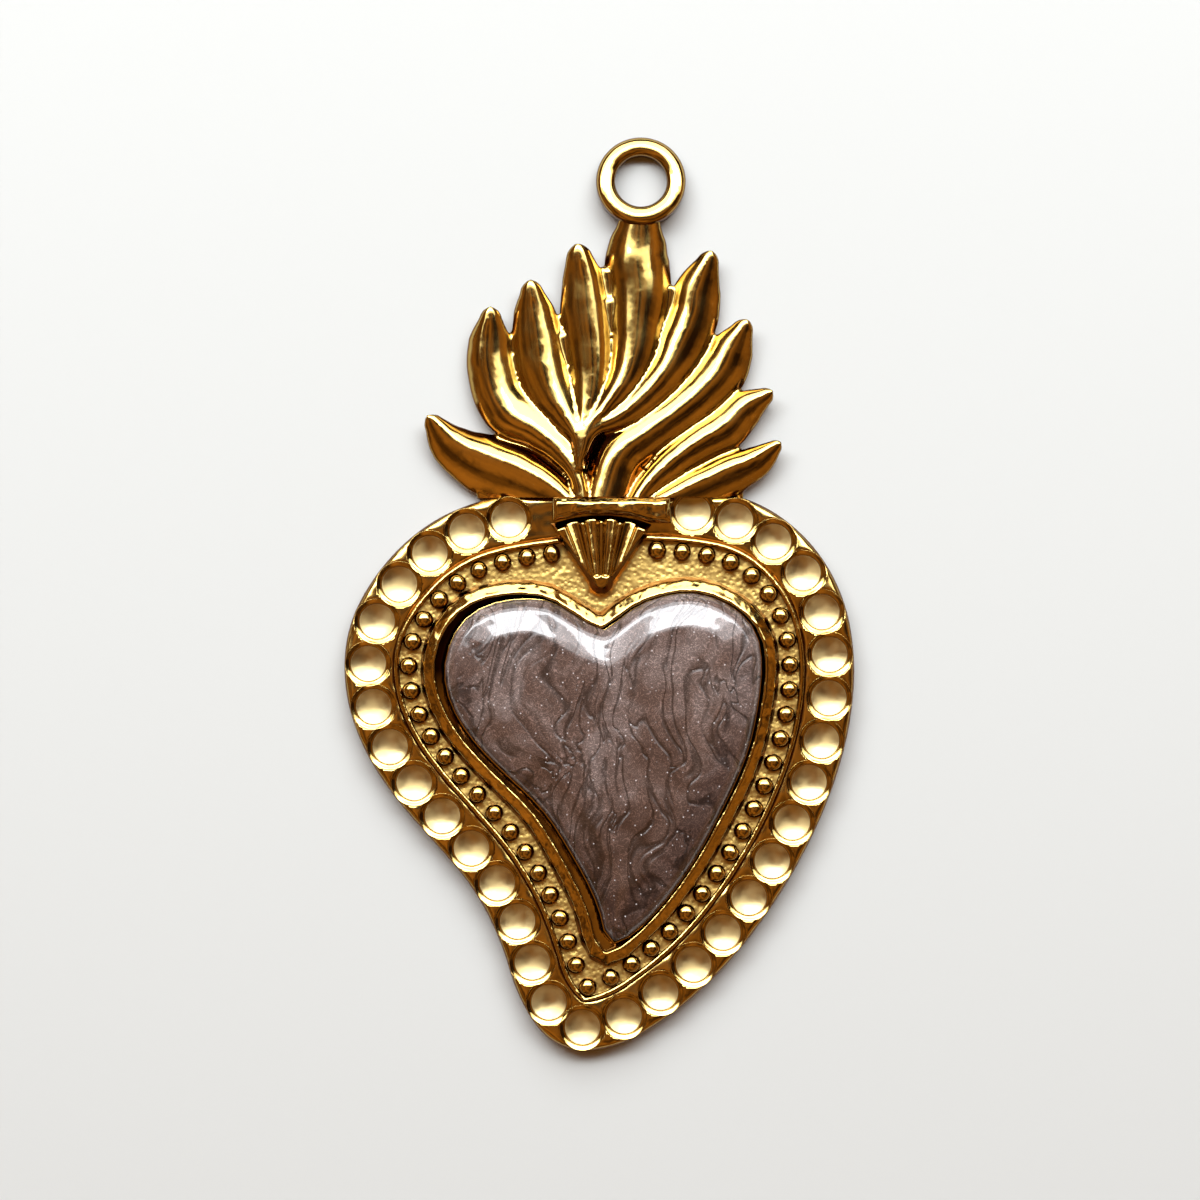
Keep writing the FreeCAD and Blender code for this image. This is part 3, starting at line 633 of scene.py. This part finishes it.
# Flame crown: nine gilt tongues cast as one piece, which spring from one root, each with a
# filed ridge. Each has the lean of its crest, and rows in mm: a place on the ridge, and the
# tongue's half width there.
TONGUES = {
    "low_left": (0.28, [
        (-1.50, 5.29, 0.77), (-3.58, 6.80, 1.49), (-5.61, 7.75, 1.96), (-7.84, 8.62, 2.02),
        (-9.83, 9.81, 1.43), (-10.90, 11.14, 0.68),
    ]),
    "left": (-0.15, [
        (-1.14, 5.14, 0.42), (-1.53, 7.66, 0.48), (-2.54, 9.39, 0.89), (-4.12, 10.79, 1.22),
        (-6.11, 12.16, 1.72), (-7.15, 14.95, 1.61), (-7.21, 16.74, 1.40), (-7.15, 18.10, 0.74),
    ]),
    "upper_left": (0, [
        (-1.26, 8.11, 0.24), (-1.53, 10.19, 0.39), (-2.33, 11.68, 0.98), (-3.08, 12.93, 1.49),
        (-3.76, 14.95, 1.78), (-4.09, 16.97, 1.75), (-4.33, 18.67, 1.34), (-4.47, 19.83, 0.77),
    ]),
    "top_left": (0.1, [
        (-1.26, 8.71, 0.21), (-1.14, 10.55, 0.30), (-0.91, 11.80, 0.57), (-0.64, 13.46, 1.13),
        (-0.64, 15.84, 1.49), (-0.97, 18.82, 1.67), (-1.14, 20.75, 1.34), (-1.35, 22.09, 0.89),
    ]),
    "top": (0, [
        (-1.14, 9.30, 0.21), (-0.73, 10.79, 0.30), (0.46, 12.27, 0.59), (1.65, 14.06, 1.01),
        (2.25, 15.84, 1.40), (2.48, 17.92, 1.72), (2.63, 20.01, 2.08), (2.45, 21.94, 2.14),
        (2.52, 23.20, 1.88), (2.58, 23.95, 1.52), (2.66, 25.06, 1.20),
    ]),
    "top_right": (-0.1, [
        (-1.14, 9.00, 0.24), (-0.46, 10.55, 0.36), (1.47, 11.68, 0.74), (3.17, 13.11, 1.04),
        (4.51, 14.71, 1.25), (5.40, 16.44, 1.67), (6.14, 18.22, 1.70), (6.47, 20.01, 1.55),
        (7.12, 21.79, 0.74),
    ]),
    "upper_right": (-0.1, [
        (0.05, 4.99, 1.49), (0.58, 6.92, 1.78), (1.38, 9.00, 1.72), (2.96, 10.25, 1.49),
        (5.04, 11.74, 1.43), (6.68, 13.11, 1.55), (8.08, 14.71, 1.70), (8.76, 16.14, 1.43),
        (9.38, 17.33, 0.74),
    ]),
    "right": (-0.15, [
        (2.07, 5.43, 0.54), (3.32, 7.22, 0.74), (4.74, 8.53, 0.98), (6.53, 9.81, 1.16),
        (8.31, 10.85, 1.43), (9.62, 12.16, 1.25), (10.87, 12.96, 0.59),
    ]),
    "low_right": (-0.3, [
        (2.66, 5.29, 0.45), (4.45, 6.09, 0.83), (6.29, 6.80, 1.34), (8.67, 7.87, 1.43),
        (10.39, 8.71, 1.07), (11.53, 9.63, 0.48),
    ]),
}

# Heights are in mm. Falls, the side's depth and the tip's steps are in half widths.
ROOT_HEIGHT = 2.5
TIP_HEIGHT = 1.65
LEVEL_SHARE = 0.8
TIP_FALL = 0.15
FLANK_STEPS = 7
FLANK_FALL = 0.56
FLANK_CURVE = 1.8
SIDE_DEPTH = 2.6
TIP_STEPS = [(0.45, 0.87), (0.75, 0.64), (0.93, 0.36), (1.0, 0.1)]


def tongue(name, lean, rows):
    """A tongue swept along its ridge. The profile is in half widths, and its crest may lean over."""
    profile_data = bpy.data.curves.new(name + "_profile", "CURVE")
    profile_data.dimensions = "2D"
    steps = [step / FLANK_STEPS for step in range(FLANK_STEPS + 1)]
    flank = [(reach, -FLANK_FALL * reach ** FLANK_CURVE) for reach in steps]
    shape = [(-1, -SIDE_DEPTH)] + [(lean - reach * (1 + lean), up) for reach, up in reversed(flank)]
    shape += [(lean + reach * (1 - lean), up) for reach, up in flank[1:]] + [(1, -SIDE_DEPTH)]
    line = profile_data.splines.new("POLY")
    line.points.add(len(shape) - 1)
    for point, (across, up) in zip(line.points, shape):
        point.co = (across, up, 0, 1)
    line.use_cyclic_u = True
    profile = bpy.data.objects.new(name + "_profile", profile_data)
    bpy.context.scene.collection.objects.link(profile)
    ridge_data = bpy.data.curves.new(name, "CURVE")
    ridge_data.dimensions = "3D"
    ridge_data.twist_mode = "Z_UP"
    ridge_data.resolution_u = 8
    ridge_data.bevel_mode = "OBJECT"
    ridge_data.bevel_object = profile
    ridge_data.use_fill_caps = True
    last = Vector(rows[-1])
    onward = (last - Vector(rows[-2])).to_2d().normalized() * last.z
    places = []
    for number, (across, along, half) in enumerate(rows):
        share = min(1, number / (len(rows) - 1) / LEVEL_SHARE)
        places.append((across, along, ROOT_HEIGHT + (TIP_HEIGHT - ROOT_HEIGHT) * share, half))
    top = places[-1][2]
    if name != "top":
        for reach, width in TIP_STEPS:
            fall = TIP_FALL * last.z * reach ** 2
            onto = (last.x + onward.x * reach, last.y + onward.y * reach)
            places.append((*onto, top - fall, last.z * width))
    ridge = ridge_data.splines.new("BEZIER")
    ridge.bezier_points.add(len(places) - 1)
    for point, (across, along, up, half) in zip(ridge.bezier_points, places):
        point.co = (across * MM, along * MM, up * MM)
        point.handle_left_type = point.handle_right_type = "AUTO"
        point.radius = half * MM
    piece = bpy.data.objects.new(name, ridge_data)
    bpy.context.scene.collection.objects.link(piece)
    hold(piece)
    bpy.ops.object.convert(target="MESH")
    bpy.data.objects.remove(profile)
    return bpy.context.object


flames = [tongue(name, lean, rows) for name, (lean, rows) in TONGUES.items()]

# Webs: the casting is closed between the tongues, low all over and higher in two tight valleys.
# Each is a height and an outline, in mm.
WEB_FOOT = -1.0
WEBS = [
    (0.9, [
        (-8.0, 6.0), (-8.2, 8.0), (-6.0, 11.5), (-5.2, 15.0), (-1.5, 17.5), (0.15, 21.5), (2.5, 19.5),
        (4.85, 20.2), (6.0, 16.8), (7.0, 13.0), (9.0, 10.4), (9.6, 8.2), (9.4, 6.0),
    ]),
    (1.08, [
        (-1.75, 11.7), (-1.95, 12.93), (-2.12, 14.0), (-2.35, 15.8), (-2.55, 17.0), (-2.15, 17.0),
        (-1.75, 15.8), (-1.52, 14.0), (-1.35, 12.93), (-1.1, 11.7),
    ]),
    (1.08, [
        (-0.25, 12.6), (0.38, 14.5), (0.56, 16.1), (0.5, 18.0), (0.4, 19.3), (0.75, 19.3),
        (1.02, 18.0), (1.16, 16.1), (0.98, 14.5), (0.3, 12.6),
    ]),
]
for height, outline in WEBS:
    deselect_all()
    bpy.ops.mesh.primitive_circle_add(vertices=len(outline), radius=MM, fill_type="NGON")
    web = bpy.context.object
    for vertex, (across, along) in zip(web.data.vertices, outline):
        vertex.co = Vector((across, along, WEB_FOOT)) * MM
    bpy.ops.object.mode_set(mode="EDIT")
    bpy.ops.mesh.select_all(action="SELECT")
    bpy.ops.mesh.extrude_region_move(TRANSFORM_OT_translate={"value": (0, 0, (height - WEB_FOOT) * MM)})
    bpy.ops.mesh.select_all(action="SELECT")
    bpy.ops.mesh.normals_make_consistent(inside=False)
    bpy.ops.object.mode_set(mode="OBJECT")
    flames.append(web)
deselect_all()
for flame in flames:
    flame.select_set(True)
bpy.context.view_layer.objects.active = flames[0]
bpy.ops.object.join()
crown = bpy.context.object
crown.name = "flame_tongues"
cast(crown, voxel=0.11, rounds=6)

# The cast skin is cut off flat at the root, under the collar, and at the back.
ROOT_CUT = 6.25
bpy.ops.object.mode_set(mode="EDIT")
for at, facing in (((0, ROOT_CUT, 0), (0, -1, 0)), ((0, 0, 0), (0, 0, -1))):
    bpy.ops.mesh.select_all(action="SELECT")
    bpy.ops.mesh.bisect(
        plane_co=Vector(at) * MM, plane_no=facing, use_fill=True, clear_outer=True, threshold=MERGE
    )
bpy.ops.object.mode_set(mode="OBJECT")

# Where the middle tongues run close together, the valleys between them are softened. The area
# is in mm, and it reaches less far up on the left.
FILL_LEFT = -3.4
FILL_MIDDLE = -0.8
FILL_RIGHT = 2.0
FILL_FROM = 9.0
FILL_TO_LEFT = 18.2
FILL_TO_RIGHT = 20.6
FILL_ABOVE = 0.3
filled = crown.vertex_groups.new(name="filled_valleys")
for vertex in crown.data.vertices:
    across, along, up = vertex.co
    fill_to = FILL_TO_LEFT if across < FILL_MIDDLE * MM else FILL_TO_RIGHT
    between = FILL_LEFT * MM < across < FILL_RIGHT * MM and FILL_FROM * MM < along < fill_to * MM
    if between and up > FILL_ABOVE * MM:
        filled.add([vertex.index], 1, "REPLACE")
finished(crown, "SMOOTH", factor=0.5, iterations=8, vertex_group="filled_valleys")

# The ring is let into the top tongue, so the tongue is cut to the ring's outline.
RING_MIDDLE = Vector((2.7, 27.05, 0)) * MM
RING_STEPS = 96
RING_CUT = 2.9
CUT_LENGTH = 8
deselect_all()
bpy.ops.mesh.primitive_cylinder_add(
    vertices=RING_STEPS, radius=RING_CUT * MM, depth=CUT_LENGTH * MM, location=RING_MIDDLE
)
eye = bpy.context.object
finished(crown, "BOOLEAN", operation="DIFFERENCE", solver="EXACT", object=eye)
bpy.data.objects.remove(eye)
flame_gold = gilt("filed_gilt", GOLD, roughness=0.12, wave_mm=1.6, wave_depth_mm=0.035, grain_mm=0.3)
dressed(crown, flame_gold, "gilt_crown", "flame_crown")


# Collar: a gilt bar soldered over the joint between crown and plate. Its corners are worn
# round, and it has taken small knocks everywhere but along its foot.
KNOCK = 1.1
KNOCK_DEPTH = 0.2
KNOCK_ABOVE = 0.3
collar_gold = gilt("worn_gilt", GOLD, roughness=0.12, wave_mm=1.2, wave_depth_mm=0.06)
collar = copied("collar", "collar_bar")
cast(collar, voxel=0.08, rounds=8)
knocks = bpy.data.textures.new("knocks", "CLOUDS")
knocks.noise_scale = KNOCK * MM
knocked = collar.vertex_groups.new(name="knocked")
above = [vertex.index for vertex in collar.data.vertices if vertex.co.z > KNOCK_ABOVE * MM]
knocked.add(above, 1, "REPLACE")
finished(
    collar, "DISPLACE", texture=knocks, texture_coords="LOCAL", direction="NORMAL",
    strength=KNOCK_DEPTH * MM, mid_level=0.6, vertex_group="knocked",
)
dressed(collar, collar_gold, "gilt_crown", "collar")


# Fan: a gilt fluted palmette under the collar, in the cleft of the heart. It was cast with the
# plate, and its ribs are still crisp.
fan_gold = gilt("cast_fan_gilt", GOLD, roughness=0.12, wave_mm=0.9, wave_depth_mm=0.03)
fan = copied("fan", "fan_ribs")
cast(fan, voxel=0.06, rounds=4)
dressed(fan, fan_gold, "gilt_crown", "fan")


# Hanging ring: a flat-backed gilt eye, cast on the top tongue and polished all round by the
# cord. Its top leans a little towards the softboxes. The profile is in mm.
RING_PROFILE = [
    (1.7, 0.0), (1.7, 1.1), (1.78, 1.3), (1.95, 1.42), (2.2, 1.48), (2.5, 1.48), (2.75, 1.4), (2.9, 1.22),
    (2.95, 1.0), (2.95, 0.0), (1.7, 0.0),
]
RING_LEAN = math.tan(math.radians(10))
LEAN_ABOVE = 0.5
ring_gold = gilt("polished_gilt", GOLD, roughness=0.10, wave_mm=1.5, wave_depth_mm=0.04)
ring = turned("ring_eye", RING_PROFILE, RING_STEPS)
for vertex in ring.data.vertices:
    if vertex.co.z > LEAN_ABOVE * MM:
        vertex.co.z -= vertex.co.y * RING_LEAN
ring.data.transform(Matrix.Translation(RING_MIDDLE))
dressed(ring, ring_gold, "gilt_crown", "hanging_ring")
